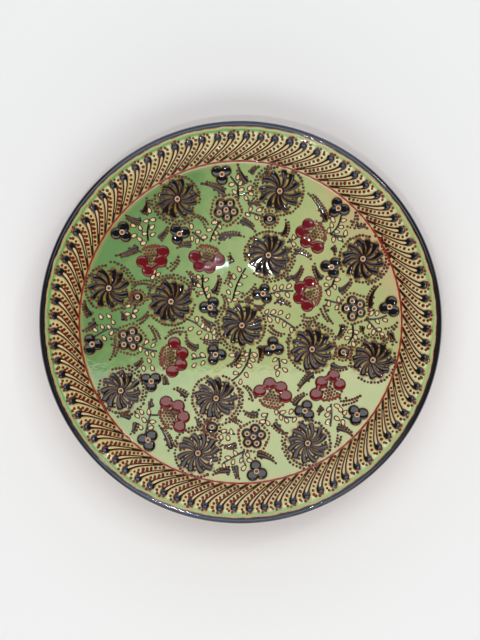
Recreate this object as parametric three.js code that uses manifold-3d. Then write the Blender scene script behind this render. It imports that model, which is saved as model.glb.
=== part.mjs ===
// A wheel-thrown dish of red clay, painted with raised slip and glazed, in millimetres with +Z up.
// The origin is on the table under the middle of the foot ring.
// The fired clay body carries a coat of pale slip, a black band round its lip, a fringe of eighty
// black drops on the border, and forty-five flowers, berries and buds of thick slip in the well.

import * as THREE from 'three';
import { mergeVertices } from 'three/addons/utils/BufferGeometryUtils.js';
import Module from 'manifold-3d';

const wasm = await Module();
wasm.setup();

// Clay body
const wellRadius = 121; // where the well turns up into the border
const borderWidth = 29; // from the well's edge to the outside of the lip
const wellDepth = 14; // from the middle of the well up to its edge
const borderRise = 15; // from the well's edge up to the lip
const borderFootSlope = 0.95; // rise over run where the border leaves the well
const borderTopSlope = 0.12; // and where it meets the lip
const floorThickness = 7; // clay under the well
const wallThickness = 6.4; // clay at the foot of the border
const lipRoll = 2.3; // radius of the rounded clay lip
const footRecess = 5; // table to the clay inside the foot ring
const footRadius = 70; // outside of the foot ring, on the table
const footWidth = 6.5; // the flat that the dish stands on
const footDraft = 2; // how far each flank of the ring leans

// Coat and band
const clearance = 0.3; // kept between pieces that touch
const coatThickness = 0.5;
const bandThickness = 0.4;
const coatEndAngle = 112; // where the coat stops on the lip, in degrees round it from straight out
const bandInnerAngle = 99; // where the black band starts on the lip
const bandOuterAngle = -62; // and where it stops, under the lip

// Raised slip
const petalHeight = 0.9;
const petalSwirl = 30; // degrees that a petal bends round on its way out
const hubRadius = 2.4; // where a daisy's petals part
const domeHeight = 1.5;
const eyeRadius = 1.9; // the bead at a flower's middle
const eyeHeight = 0.5; // above the slip that it sits on
const lobeRadius = 4.1;
const trefoilSpread = 4.3; // from a trefoil's middle to the middle of each lobe
const berryRadius = 4;
const berryOverlap = 1.6; // how far the berries of a cluster run into each other
const carnationLobeRadius = 4.4;
const carnationSpread = 11.6; // from the middle of its fan to the middle of each lobe

// Fringe of drops on the border
const dropCount = 80;
const dropHeight = 1.1;
const dropInset = 6; // from the lip's middle line in to the top of a drop
const dropHeadWidth = 5.6;
const dropLean = 9.6; // degrees that the tail trails behind the head
const firstTail = 3.3; // bearing of the first tail, in degrees
const lineWidth = 1.3; // the line round the well that the tails run into
const lineHeight = 0.6;

// How finely round shapes are cut
const turns = 48;
const wellSteps = 4;
const borderSteps = 4;

// The painted pattern: [right, up] in millimetres from the well's middle, seen from above.
// It is laid out for a well of this radius, and is drawn larger or smaller to fill another.
const patternRadius = 121;

const daisies = [
  { name: 'daisy_middle', place: [1, -2.5], reach: 16.5, petals: 13 },
  { name: 'daisy_inner_1', place: [54, -20.5], reach: 16.5, petals: 12 },
  { name: 'daisy_inner_2', place: [21, 50.5], reach: 16.5, petals: 13 },
  { name: 'daisy_inner_3', place: [-52.5, 15.5], reach: 16.5, petals: 13 },
  { name: 'daisy_inner_4', place: [-18.5, -57.5], reach: 16.5, petals: 13 },
  { name: 'daisy_outer_1', place: [92, 47.5], reach: 16, petals: 12 },
  { name: 'daisy_outer_2', place: [29.5, 98.5], reach: 16.5, petals: 12 },
  { name: 'daisy_outer_3', place: [-47.5, 92.5], reach: 15.5, petals: 12 },
  { name: 'daisy_outer_4', place: [-99, 25.5], reach: 16, petals: 12 },
  { name: 'daisy_outer_5', place: [-90, -51.5], reach: 15.5, petals: 12 },
  { name: 'daisy_outer_6', place: [-32, -98.5], reach: 16, petals: 12 },
  { name: 'daisy_outer_7', place: [50.5, -91], reach: 15.5, petals: 12 },
  { name: 'daisy_outer_8', place: [99.5, -28.5], reach: 15.5, petals: 12 },
];

const trefoils = [
  { name: 'trefoil_edge_1', place: [112, 11.5], turn: 73 },
  { name: 'trefoil_edge_2', place: [-14, 111], turn: 34 },
  { name: 'trefoil_edge_3', place: [-111.5, -16.5], turn: 0 },
  { name: 'trefoil_edge_4', place: [12, -112], turn: 100 },
  { name: 'trefoil_rim_1', place: [73.5, 85.5], turn: 102 },
  { name: 'trefoil_rim_2', place: [-89, 67.5], turn: 70 },
  { name: 'trefoil_rim_3', place: [-69.5, -88.5], turn: 47 },
  { name: 'trefoil_rim_4', place: [87.5, -69.5], turn: 13 },
  { name: 'trefoil_mid_1', place: [68.5, 41.5], turn: 47 },
  { name: 'trefoil_mid_2', place: [-46, 66.5], turn: 13 },
  { name: 'trefoil_mid_3', place: [-67.3, -44.5], turn: 35 },
  { name: 'trefoil_mid_4', place: [48.5, -66.8], turn: 68 },
  { name: 'trefoil_heart_1', place: [17, 21.5], turn: 70 },
  { name: 'trefoil_heart_2', place: [-23, 11], turn: 57 },
  { name: 'trefoil_heart_3', place: [-19, -24.5], turn: 2 },
  { name: 'trefoil_heart_4', place: [24.5, -19], turn: 96 },
];

const berries = [
  { name: 'berries_1', place: [85.5, 10], turn: 35 },
  { name: 'berries_2', place: [-11, 84.5], turn: 60 },
  { name: 'berries_3', place: [-83.5, -13], turn: 3 },
  { name: 'berries_4', place: [9.5, -86.5], turn: 10 },
];

const buds = [
  { name: 'bud_1', place: [77.5, -23], radius: 4 },
  { name: 'bud_2', place: [22, 77.5], radius: 4.6 },
  { name: 'bud_3', place: [-77.5, 18.5], radius: 3.8 },
  { name: 'bud_4', place: [-21.5, -79.5], radius: 4.2 },
];

// A carnation's place is the middle of the fan that its red lobes curl round
const carnations = [
  { name: 'carnation_outer_1', place: [58, 67], turn: 200 },
  { name: 'carnation_outer_2', place: [-67, 51.5], turn: 295 },
  { name: 'carnation_outer_3', place: [-54, -72], turn: 30 },
  { name: 'carnation_outer_4', place: [67, -53.5], turn: 110 },
  { name: 'carnation_inner_1', place: [55.5, 21], turn: 173 },
  { name: 'carnation_inner_2', place: [-25, 52.5], turn: 262 },
  { name: 'carnation_inner_3', place: [-55, -26.5], turn: 354 },
  { name: 'carnation_inner_4', place: [24, -59], turn: 78 },
];

const rad = THREE.MathUtils.degToRad;
const lerp = THREE.MathUtils.lerp;

// Heights and radii that follow from the sizes above
const floorTop = footRecess + floorThickness;
const wellEdge = floorTop + wellDepth;
const bandOutside = lipRoll + clearance + bandThickness;
const lipMiddle = wellRadius + borderWidth - bandOutside;
const lipStart = 165; // degrees round the lip where the border runs into it
const borderEnd = lipMiddle + lipRoll * Math.cos(rad(lipStart));
const borderTop = wellEdge + borderRise;
const lipHeight = borderTop - lipRoll * Math.sin(rad(lipStart));

// The clay's upper surface: a shallow bowl, then a border that starts steep and flattens to the lip
function clayHeight(radius) {
  if (radius <= wellRadius) return floorTop + wellDepth * (radius / wellRadius) ** 2;
  const run = borderEnd - wellRadius;
  const t = (radius - wellRadius) / run;
  const rise = borderRise * (3 * t ** 2 - 2 * t ** 3);
  const start = borderFootSlope * run * (t - 2 * t ** 2 + t ** 3);
  const end = borderTopSlope * run * (t ** 3 - t ** 2);
  return wellEdge + rise + start + end;
}

// Points at a height above the clay's upper surface, from one radius out to another
function surfaceLine(lift, from, to, steps) {
  const points = [];
  for (let i = 0; i <= steps; i++) {
    const radius = lerp(from, to, i / steps);
    points.push(new THREE.Vector2(radius, clayHeight(radius) + lift));
  }
  return points;
}

const wellLine = (lift) => surfaceLine(lift, 0, wellRadius, wellSteps);
const borderLine = (lift) => surfaceLine(lift, wellRadius, borderEnd, borderSteps).slice(1);

// Points round the lip from one angle to another, in degrees from straight out
function lipArc(radius, from, to, steps) {
  const points = [];
  for (let i = 0; i <= steps; i++) {
    const angle = rad(lerp(from, to, i / steps));
    points.push(new THREE.Vector2(lipMiddle + radius * Math.cos(angle), lipHeight + radius * Math.sin(angle)));
  }
  return points;
}

// The border's outer side lies a wall's thickness from its upper side and thins towards the lip
function borderOutside() {
  const upper = [new THREE.Vector2(wellRadius, wellEdge), ...borderLine(0)];
  const points = [];
  for (let i = 0; i < borderSteps; i++) {
    const along = upper[i + 1].clone().sub(upper[i]).normalize();
    const thickness = lerp(wallThickness, 1.6 * lipRoll, i / borderSteps);
    points.push(new THREE.Vector2(upper[i].x + along.y * thickness, upper[i].y - along.x * thickness));
  }
  return points;
}

// A profile turned round the dish's axis
function turned(points) {
  const geometry = new THREE.LatheGeometry(points, turns);
  geometry.rotateX(Math.PI / 2);
  return geometry;
}

function clayBodyGeometry() {
  const ringInside = footRadius - footWidth;
  return turned([
    ...surfaceLine(-floorThickness, 0, ringInside - footDraft, 2),
    new THREE.Vector2(ringInside, 0),
    new THREE.Vector2(footRadius, 0),
    ...surfaceLine(-floorThickness, footRadius + footDraft, wellRadius - wallThickness, 2),
    ...borderOutside(),
    ...lipArc(lipRoll, -80, lipStart, 7),
    ...borderLine(0).reverse().slice(1),
    ...wellLine(0).reverse(),
  ]);
}

// The coat follows the clay and rounds the groove inside the lip
function coatLine(lift) {
  const lip = lipArc(lipRoll + lift, 145, coatEndAngle, 1);
  return [...wellLine(lift), ...borderLine(lift).slice(0, -1), ...lip];
}

const coatTop = coatLine(clearance + coatThickness);

function coatGeometry() {
  return turned([...coatLine(clearance), ...coatTop.slice().reverse()]);
}

function lipBandGeometry() {
  const outer = lipArc(bandOutside, bandOuterAngle, bandInnerAngle, 6);
  const inner = lipArc(lipRoll + clearance, bandInnerAngle, bandOuterAngle, 5);
  return turned([...outer, ...inner, outer[0].clone()]);
}

// The coat's height at a place, allowing for the flat facets that a turned shape is cut with
function coatHeight(x, y) {
  const facet = (2 * Math.PI) / turns;
  const bearing = Math.atan2(y, x);
  const offMiddle = bearing - facet * (Math.floor(bearing / facet) + 0.5);
  const ring = (Math.hypot(x, y) * Math.cos(offMiddle)) / Math.cos(facet / 2);
  const next = coatTop.findIndex((point) => point.x > ring);
  const inner = coatTop[next - 1];
  const outer = coatTop[next];
  return lerp(inner.y, outer.y, (ring - inner.x) / (outer.x - inner.x));
}

// Slip is shaped lying flat at z = 0, joined, then let down on the coat

function solid(geometry) {
  const bare = geometry.clone();
  bare.deleteAttribute('normal');
  bare.deleteAttribute('uv');
  const merged = mergeVertices(bare, 1e-4);
  const corners = merged.index.array;
  const kept = [];
  for (let i = 0; i < corners.length; i += 3) {
    const [a, b, c] = corners.slice(i, i + 3);
    if (a !== b && b !== c && c !== a) kept.push(a, b, c);
  }
  const vertProperties = new Float32Array(merged.attributes.position.array);
  const triVerts = new Uint32Array(kept);
  return new wasm.Manifold(new wasm.Mesh({ numProp: 3, vertProperties, triVerts }));
}

function joined(geometries) {
  let whole = solid(geometries[0]);
  for (const geometry of geometries.slice(1)) whole = whole.add(solid(geometry));
  const mesh = whole.getMesh();
  const geometry = new THREE.BufferGeometry();
  geometry.setAttribute('position', new THREE.BufferAttribute(new Float32Array(mesh.vertProperties), 3));
  geometry.setIndex(new THREE.BufferAttribute(new Uint32Array(mesh.triVerts), 1));
  return geometry;
}

function laidOnCoat(geometry) {
  const position = geometry.attributes.position;
  for (let i = 0; i < position.count; i++) {
    const under = coatHeight(position.getX(i), position.getY(i));
    position.setZ(i, under + clearance + position.getZ(i));
  }
  geometry.computeVertexNormals();
  return geometry;
}

function paintedInWell(geometry, [x, y], turn = 0) {
  const scale = wellRadius / patternRadius;
  geometry.rotateZ(rad(turn));
  geometry.translate(x, y, 0);
  geometry.scale(scale, scale, 1);
  return laidOnCoat(geometry);
}

function polar(radius, degrees) {
  return new THREE.Vector2(radius * Math.cos(rad(degrees)), radius * Math.sin(rad(degrees)));
}

// A pat of slip, flat below and rounded above
function pat(radius, height, centre = new THREE.Vector2(), sides = 8) {
  const profile = [
    new THREE.Vector2(0, 0),
    new THREE.Vector2(radius, 0),
    new THREE.Vector2(radius * 0.7, height * 0.8),
    new THREE.Vector2(0, height),
  ];
  const geometry = new THREE.LatheGeometry(profile, sides);
  geometry.rotateX(Math.PI / 2);
  geometry.translate(centre.x, centre.y, 0);
  return geometry;
}

function eye(base) {
  return pat(eyeRadius, base + eyeHeight, new THREE.Vector2(), 6);
}

// A bead of slip trailed along a line, with its own width at each point of the line
function trail(centres, widths, height) {
  const steps = centres.length - 1;
  const geometry = new THREE.BoxGeometry(steps, 1, height, steps, 1, 1);
  geometry.translate(steps / 2, 0, height / 2);
  const position = geometry.attributes.position;
  for (let i = 0; i < position.count; i++) {
    const step = Math.round(position.getX(i));
    const before = centres[Math.max(step - 1, 0)];
    const after = centres[Math.min(step + 1, steps)];
    const along = after.clone().sub(before).normalize();
    const aside = position.getY(i) * widths[step];
    position.setXY(i, centres[step].x - along.y * aside, centres[step].y + along.x * aside);
  }
  return geometry;
}

function arcTrail(radius, from, to, steps, width) {
  const centres = [];
  for (let i = 0; i <= steps; i++) centres.push(polar(radius, lerp(from, to, i / steps)));
  return trail(centres, centres.map(() => width), lineHeight);
}

// Comma-shaped petals that swirl out from the eye
function daisyGeometry(reach, petals) {
  const half = 180 / petals;
  const outline = [];
  for (let i = 0; i < petals; i++) {
    const start = (360 * i) / petals;
    const bend = start + 0.4 * petalSwirl;
    const tip = start + petalSwirl;
    outline.push(
      polar(hubRadius, start - half),
      polar(0.6 * reach, bend - 0.5 * half),
      polar(reach, tip - 0.45 * half),
      polar(reach, tip + 0.35 * half),
    );
  }
  const options = { depth: petalHeight, bevelEnabled: false, steps: 1 };
  const petalsSlab = new THREE.ExtrudeGeometry(new THREE.Shape(outline), options);
  return joined([petalsSlab, eye(petalHeight)]);
}

function trefoilGeometry() {
  const lobes = [0, 120, 240].map((angle) => pat(lobeRadius, domeHeight, polar(trefoilSpread, angle)));
  return joined([...lobes, eye(domeHeight)]);
}

function berriesGeometry() {
  const spread = 2 * berryRadius - berryOverlap;
  const ring = [0, 72, 144, 216, 288].map((angle) => pat(berryRadius, domeHeight, polar(spread, angle)));
  return joined([pat(berryRadius, domeHeight), ...ring]);
}

function budGeometry(radius) {
  return joined([pat(radius, domeHeight), eye(domeHeight)]);
}

// Four red lobes in a horseshoe, on the line of slip that joins them
function carnationGeometry() {
  const lobes = [-66, -22, 22, 66].map((angle) =>
    pat(carnationLobeRadius, domeHeight, polar(carnationSpread, angle)),
  );
  return joined([arcTrail(carnationSpread, -66, 66, 4, 2.4), ...lobes]);
}

// One drop of the fringe, from its round head down to the tail that trails round the well.
// It bends where the coat's rings bend, so that it lies on them along its whole length.
function dropGeometry(tailBearing) {
  const rings = coatTop.slice(wellSteps, -2).map((point) => point.x);
  const head = rings.at(-1);
  const centres = [polar(lipMiddle - dropInset, tailBearing - dropLean)];
  const widths = [0.6 * dropHeadWidth];
  for (const ring of rings.reverse()) {
    const t = (head - ring) / (head - wellRadius);
    centres.push(polar(ring, tailBearing - dropLean * (1 - t ** 1.7)));
    widths.push(dropHeadWidth * Math.max(0.2, (1 - t) ** 1.2));
  }
  return trail(centres, widths, dropHeight);
}

// A quarter of the fringe: a stretch of the line round the well with its share of the drops
function fringeGeometry(quarter) {
  const share = dropCount / 4;
  const pitch = 360 / dropCount;
  const from = quarter * 90;
  const gap = THREE.MathUtils.radToDeg(clearance / wellRadius);
  const pieces = [arcTrail(wellRadius, from + gap, from + 90 - gap, share, lineWidth)];
  for (let i = 0; i < share; i++) pieces.push(dropGeometry(from + firstTail + i * pitch));
  return joined(pieces);
}

// Materials
const redClay = new THREE.MeshStandardMaterial({ color: 0xa2552f, roughness: 0.85, metalness: 0 });
const greenGlaze = new THREE.MeshStandardMaterial({ color: 0xa6b57c, roughness: 0.12, metalness: 0 });
const blackSlip = new THREE.MeshStandardMaterial({ color: 0x17130f, roughness: 0.12, metalness: 0 });
const redSlip = new THREE.MeshStandardMaterial({ color: 0x6d150f, roughness: 0.12, metalness: 0 });

const dish = new THREE.Group();

function add(name, geometry, material) {
  const mesh = new THREE.Mesh(geometry, material);
  mesh.name = name;
  dish.add(mesh);
}

add('clay_body', clayBodyGeometry(), redClay);
add('pale_coat', coatGeometry(), greenGlaze);
add('lip_band', lipBandGeometry(), blackSlip);
for (let quarter = 0; quarter < 4; quarter++) {
  add(`drop_fringe_${quarter + 1}`, laidOnCoat(fringeGeometry(quarter)), blackSlip);
}
for (const { name, place, reach, petals } of daisies) {
  add(name, paintedInWell(daisyGeometry(reach, petals), place), blackSlip);
}
for (const { name, place, turn } of trefoils) {
  add(name, paintedInWell(trefoilGeometry(), place, turn), blackSlip);
}
for (const { name, place, turn } of berries) {
  add(name, paintedInWell(berriesGeometry(), place, turn), blackSlip);
}
for (const { name, place, radius } of buds) {
  add(name, paintedInWell(budGeometry(radius), place), blackSlip);
}
for (const { name, place, turn } of carnations) {
  add(name, paintedInWell(carnationGeometry(), place, turn), redSlip);
}

export default dish;
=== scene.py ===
import math
import random

import bmesh
import bpy
from mathutils import Matrix, Vector, kdtree


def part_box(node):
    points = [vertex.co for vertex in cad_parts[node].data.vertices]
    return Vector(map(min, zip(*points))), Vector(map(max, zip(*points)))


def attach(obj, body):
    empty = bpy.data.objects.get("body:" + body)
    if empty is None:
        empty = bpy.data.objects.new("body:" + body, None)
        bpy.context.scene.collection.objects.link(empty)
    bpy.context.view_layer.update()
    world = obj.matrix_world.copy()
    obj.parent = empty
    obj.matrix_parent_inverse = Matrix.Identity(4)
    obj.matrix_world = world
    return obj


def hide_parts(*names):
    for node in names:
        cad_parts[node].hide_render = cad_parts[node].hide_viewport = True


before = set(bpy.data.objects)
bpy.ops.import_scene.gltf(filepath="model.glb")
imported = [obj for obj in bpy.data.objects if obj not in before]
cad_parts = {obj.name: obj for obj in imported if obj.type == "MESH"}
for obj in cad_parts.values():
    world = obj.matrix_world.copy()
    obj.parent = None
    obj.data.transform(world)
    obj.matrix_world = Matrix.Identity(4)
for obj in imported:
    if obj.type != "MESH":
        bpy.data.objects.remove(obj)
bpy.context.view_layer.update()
mm = 0.001
print("frame loaded:", len(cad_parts), "nodes")


# Colour and material helpers

def linearColour(hexCode):
    channels = [int(hexCode[i:i + 2], 16) / 255 for i in (1, 3, 5)]
    linear = [c / 12.92 if c <= 0.04045 else ((c + 0.055) / 1.055) ** 2.4 for c in channels]
    return (*linear, 1.0)


# Capitalised settings are sockets, the rest are the node's own; stops fill a colour ramp
def addNode(tree, kind, settings=None, links=None):
    node = tree.nodes.new(kind)
    for name, value in (settings or {}).items():
        if name == "stops":
            ramp = node.color_ramp
            while len(ramp.elements) < len(value):
                ramp.elements.new(0.5)
            for element, (place, colour) in zip(ramp.elements, value):
                element.position = place
                element.color = linearColour(colour)
        elif isinstance(name, int) or name[0].isupper():
            node.inputs[name].default_value = value
        else:
            setattr(node, name, value)
    for name, source in (links or {}).items():
        tree.links.new(source, node.inputs[name])
    return node


def newMaterial(name):
    material = bpy.data.materials.new(name)
    material.use_nodes = True
    material.node_tree.nodes.clear()
    return material, material.node_tree


def noise(tree, place, size, detail, roughness=0.5):
    settings = {"Scale": 1 / (size * mm), "Detail": detail, "Roughness": roughness}
    return addNode(tree, "ShaderNodeTexNoise", settings, {"Vector": place}).outputs["Fac"]


def multiplyAdd(tree, value, factor, added):
    links = {0: value, 2: added}
    return addNode(tree, "ShaderNodeMath", {"operation": "MULTIPLY_ADD", 1: factor}, links).outputs[0]


def mapRange(tree, value, low, high, toLow=0.0, toHigh=1.0):
    settings = {"From Min": low, "From Max": high, "To Min": toLow, "To Max": toHigh}
    return addNode(tree, "ShaderNodeMapRange", settings, {"Value": value}).outputs[0]


# Distance from the middle of the dish, towards one side of it
def alongBearing(tree, place, bearing):
    settings = {"operation": "DOT_PRODUCT", 1: bearing}
    return addNode(tree, "ShaderNodeVectorMath", settings, {0: place}).outputs["Value"]


def colourRamp(tree, factor, stops):
    return addNode(tree, "ShaderNodeValToRGB", {"stops": stops}, {"Fac": factor}).outputs["Color"]


# Either colour may be a hex code or a socket
def mixColours(tree, share, first, second):
    settings = {"data_type": "RGBA"}
    links = {0: share}
    for key, colour in ((6, first), (7, second)):
        if isinstance(colour, str):
            settings[key] = linearColour(colour)
        else:
            links[key] = colour
    return addNode(tree, "ShaderNodeMix", settings, links).outputs[2]


# The last nodes of every material on the dish; depth is the bump's, in mm
def shadeSurface(tree, colour, height, strength, depth, settings):
    bump = addNode(tree, "ShaderNodeBump", {"Strength": strength, "Distance": depth * mm}, {"Height": height})
    shader = addNode(tree, "ShaderNodeBsdfPrincipled", settings,
                     {"Base Color": colour, "Normal": bump.outputs[0], "Coat Normal": bump.outputs[0]})
    addNode(tree, "ShaderNodeOutputMaterial", links={"Surface": shader.outputs[0]})


glass = {"Coat Weight": 1.0, "Coat Roughness": 0.02, "Coat IOR": 1.52}
slateBloom = {"Specular Tint": linearColour("#86A8D8")}  # as manganese leaves on black


# Raised slip is thickest in the middle of a stroke and thins to brown at its edge, under the same glass;
# sheen is how strong the slate bloom is
def slipMaterial(name, deep, towardsNortheast, speckSize=0.8, thinEdge=0.3, sheen=0.0):
    material, tree = newMaterial(name)
    place = addNode(tree, "ShaderNodeTexCoord").outputs["Object"]
    thickness = addNode(tree, "ShaderNodeAttribute", {"attribute_name": "thickness"}).outputs["Fac"]
    mottle = noise(tree, place, speckSize, detail=3, roughness=0.6)
    uneven = multiplyAdd(tree, mottle, 0.35, thickness)
    thinnest = 0.12
    edge = mapRange(tree, uneven, thinnest, thinnest + thinEdge + 0.2)
    colour = mixColours(tree, edge, towardsNortheast, deep)
    ripple = noise(tree, place, 2.2, detail=2)
    settings = {"Roughness": 0.18, "Specular IOR Level": sheen, **slateBloom, **glass}
    shadeSurface(tree, colour, ripple, strength=0.2, depth=0.08, settings=settings)
    return material


blackSlip = slipMaterial("blackSlipUnderGlaze", "#070505", "#48200A", 0.9, sheen=0.05)
redSlip = slipMaterial("darkRedSlipUnderGlaze", "#66090C", "#3A0606", 1.4, 0.25)
creamSlip = slipMaterial("creamSlipUnderGlaze", "#D8BC8C", "#94562A")
brownSlip = slipMaterial("brownSlipUnderGlaze", "#160702", "#5E260C")
bleedSlip = slipMaterial("ironBleedUnderGlaze", "#5A2A0A", "#935612", thinEdge=0.4)
russetSlip = slipMaterial("russetSlipUnderGlaze", "#720F02", "#461603", thinEdge=0.2)
rustSlip = slipMaterial("rustSlipUnderGlaze", "#421002", "#6A300A")
lineSlip = slipMaterial("brightRedLineUnderGlaze", "#8E2A1A", "#B05A3A")
slateSlip = slipMaterial("slateBlackSlipUnderGlaze", "#070606", "#48200A", 0.9, sheen=0.38)
slips = [blackSlip, redSlip, creamSlip, brownSlip, bleedSlip, russetSlip, rustSlip, lineSlip, slateSlip]
# Places in that list, for the faces to name
black, red, cream, brown, bleed, russet, rust, brightRed, slate = range(9)


# The dish's own form

dish = {
    "wellRadius": 121,     # mm, where the well turns up
    "wellDepth": 14,
    "floorTop": 12.8,      # top of the coat in the middle
    "borderRise": 15,
    "footSlope": 0.95,     # rise over run at the foot of the border
    "topSlope": 0.12,      # and at the lip
    "lipRadius": 3.0,
    "clayLipRadius": 2.3,
}
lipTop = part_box("lip_band")[1].z / mm
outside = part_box("lip_band")[1].x / mm
lipMiddle = outside - dish["lipRadius"]
lipHeight = lipTop - dish["lipRadius"]
borderEnd = lipMiddle - dish["clayLipRadius"] * math.cos(math.radians(15))
wellEdge = dish["floorTop"] + dish["wellDepth"]


def groundHeight(radius):
    if radius <= dish["wellRadius"]:
        return dish["floorTop"] + dish["wellDepth"] * (radius / dish["wellRadius"]) ** 2
    run = borderEnd - dish["wellRadius"]
    t = min(1, (radius - dish["wellRadius"]) / run)
    rise = dish["borderRise"] * (3 * t ** 2 - 2 * t ** 3)
    start = dish["footSlope"] * run * (t - 2 * t ** 2 + t ** 3)
    end = dish["topSlope"] * run * (t ** 3 - t ** 2)
    return wellEdge + rise + start + end


def lipArc(radius, start, end, steps):
    points = []
    for i in range(steps + 1):
        angle = math.radians(start + (end - start) * i / steps)
        points.append((lipMiddle + radius * math.cos(angle), lipHeight + radius * math.sin(angle)))
    return points


def turnedPiece(profile, steps, closed):
    bm = bmesh.new()
    verts = [bm.verts.new((r * mm, 0, z * mm)) for r, z in profile]
    edges = [bm.edges.new(pair) for pair in zip(verts, verts[1:])]
    if closed:
        edges.append(bm.edges.new((verts[-1], verts[0])))
    bmesh.ops.spin(bm, geom=verts + edges, axis=(0, 0, 1), cent=(0, 0, 0), angle=math.tau, steps=steps,
                   use_merge=True)
    bmesh.ops.remove_doubles(bm, verts=bm.verts[:], dist=1e-6)
    bmesh.ops.recalc_face_normals(bm, faces=bm.faces[:])
    return bm


def finishPiece(bm, name, materials, replaced=()):
    mesh = bpy.data.meshes.new(name)
    for face in bm.faces:
        face.smooth = True
    bm.to_mesh(mesh)
    bm.free()
    for material in materials:
        mesh.materials.append(material)
    piece = bpy.data.objects.new(name, mesh)
    bpy.context.scene.collection.objects.link(piece)
    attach(piece, "root")
    if replaced:
        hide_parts(*replaced)


def finishMotif(bm, node):
    finishPiece(bm, node.title().replace("_", ""), slips, [node])


# Slip work: strokes and pats are shaped on the flat, then let down on the coat

darkSpots = []  # where iron bleeds into the glaze: x, y, radius
warmSpots = []  # the middles of the daisies, where petals crowd and the glaze turns amber
sunk = {"stroke": 0.3, "pat": 0.25}  # how deep the underside goes into the coat, as a share of the top


def letDown(bm, start):
    bm.verts.ensure_lookup_table()
    for vert in bm.verts[start:]:
        radius = math.hypot(vert.co.x, vert.co.y) / mm
        vert.co.z += groundHeight(radius) * mm


def smoothLine(points, perSpan=4):
    line = []
    ends = [points[0], *points, points[-1]]
    for a, b, c, d in zip(ends, ends[1:], ends[2:], ends[3:]):
        for i in range(perSpan):
            t = i / perSpan
            line.append(tuple(
                0.5 * (2 * q + (r - p) * t + (2 * p - 5 * q + 4 * r - s) * t ** 2
                       + (3 * q - p - 3 * r + s) * t ** 3) for p, q, r, s in zip(a, b, c, d)))
    line.append(tuple(points[-1]))
    return line


# Each line is a list of (x, y, half width) in mm; rise is the stroke's height as a share of its half width,
# and flat fills its shoulders out towards a level top
def trailSlip(bm, lines, slip, rise, sides, lift=0.0, flat=0.0):
    curve = bpy.data.curves.new("trail", "CURVE")
    curve.dimensions = "3D"
    curve.twist_mode = "Z_UP"
    curve.bevel_depth = mm
    curve.bevel_resolution = sides
    for line in lines:
        spline = curve.splines.new("POLY")
        spline.points.add(len(line) - 1)
        for point, (x, y, half) in zip(spline.points, line):
            point.co = (x * mm, y * mm, 0, 1)
            point.radius = half
    holder = bpy.data.objects.new("trail", curve)
    mesh = bpy.data.meshes.new_from_object(holder)
    firstVert, firstFace, firstEdge = len(bm.verts), len(bm.faces), len(bm.edges)
    bm.from_mesh(mesh)
    bm.verts.ensure_lookup_table()
    bm.edges.ensure_lookup_table()
    bmesh.ops.holes_fill(bm, edges=[edge for edge in bm.edges[firstEdge:] if edge.is_boundary])
    bm.faces.ensure_lookup_table()
    thickness = bm.verts.layers.float.get("thickness") or bm.verts.layers.float.new("thickness")
    stations = [half for line in lines for x, y, half in line]
    around = (len(bm.verts) - firstVert) // len(stations)
    for i, vert in enumerate(bm.verts[firstVert:]):
        half = stations[i // around] * mm
        share = vert.co.z / half
        vert[thickness] = max(0, share)
        if share > 0:
            share += flat * share * (1 - share)
        else:
            share *= sunk["stroke"]
        vert.co.z = share * half * rise + lift * mm
    for face in bm.faces[firstFace:]:
        face.material_index = slip
    letDown(bm, firstVert)
    bpy.data.objects.remove(holder)
    bpy.data.curves.remove(curve)
    bpy.data.meshes.remove(mesh)
    if slip in (black, slate):
        for line in lines:
            darkSpots.extend(line)


# Pats are (x, y, radius) in mm, with an optional stretch and turn for leaves
def patSlip(bm, pats, slip, height, around, rings, lift=0.0, stretch=1.0, flat=0.0, taper=0.0):
    bm.verts.ensure_lookup_table()
    firstVert, firstFace = len(bm.verts), len(bm.faces)
    thickness = bm.verts.layers.float.get("thickness") or bm.verts.layers.float.new("thickness")
    template = bmesh.new()
    bmesh.ops.create_uvsphere(template, u_segments=around, v_segments=rings, radius=1)
    mesh = bpy.data.meshes.new("pat")
    template.to_mesh(mesh)
    template.free()
    for pat in pats:
        x, y, radius = pat[:3]
        turn = pat[3] if len(pat) > 3 else 0
        before = len(bm.verts)
        bm.from_mesh(mesh)
        bm.verts.ensure_lookup_table()
        shape = Matrix.Rotation(turn, 2) @ Matrix.Diagonal((radius * stretch, radius))
        for vert in bm.verts[before:]:
            spread = shape @ Vector((vert.co.x, vert.co.y * (1 - taper * vert.co.x)))
            vert[thickness] = max(0, vert.co.z)
            rise = vert.co.z if vert.co.z > 0 else vert.co.z * sunk["pat"]
            if rise > 0:
                rise += flat * rise * (1 - rise)
            vert.co = ((x + spread.x) * mm, (y + spread.y) * mm, (rise * height + lift) * mm)
    bm.faces.ensure_lookup_table()
    for face in bm.faces[firstFace:]:
        face.material_index = slip
    letDown(bm, firstVert)
    bpy.data.meshes.remove(mesh)
    if slip == black:
        darkSpots.extend(pat[:3] for pat in pats)


# How far, in mm, iron seeps out of a slip's edge; rise is for the seeped rim under a stroke
seep = {"stroke": 0.35, "feather": 0.4, "pat": 0.4, "carnation": 0.3, "rise": 0.08}


def seepUnder(bm, pats, margin, height=0.3, around=20):
    patSlip(bm, [(x, y, radius + margin) for x, y, radius in pats], bleed, height, around, rings=4)


# Every dot sits in an amber ring of its own
dot = {"height": 0.17, "ringHeight": 0.09}


def dots(bm, places, radius=1.0, slip=russet):
    sized = [(x, y, radius * random.uniform(0.8, 1.18)) for x, y in places]
    ringed = [(x, y, r + random.uniform(0.25, 0.5)) for x, y, r in sized]
    patSlip(bm, ringed, bleed, dot["ringHeight"], around=8, rings=3, flat=0.8)
    patSlip(bm, sized, slip, dot["height"], around=8, rings=4, flat=0.95)


def polar(radius, degrees, centre=(0, 0)):
    angle = math.radians(degrees)
    return (centre[0] + radius * math.cos(angle), centre[1] + radius * math.sin(angle))


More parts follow.
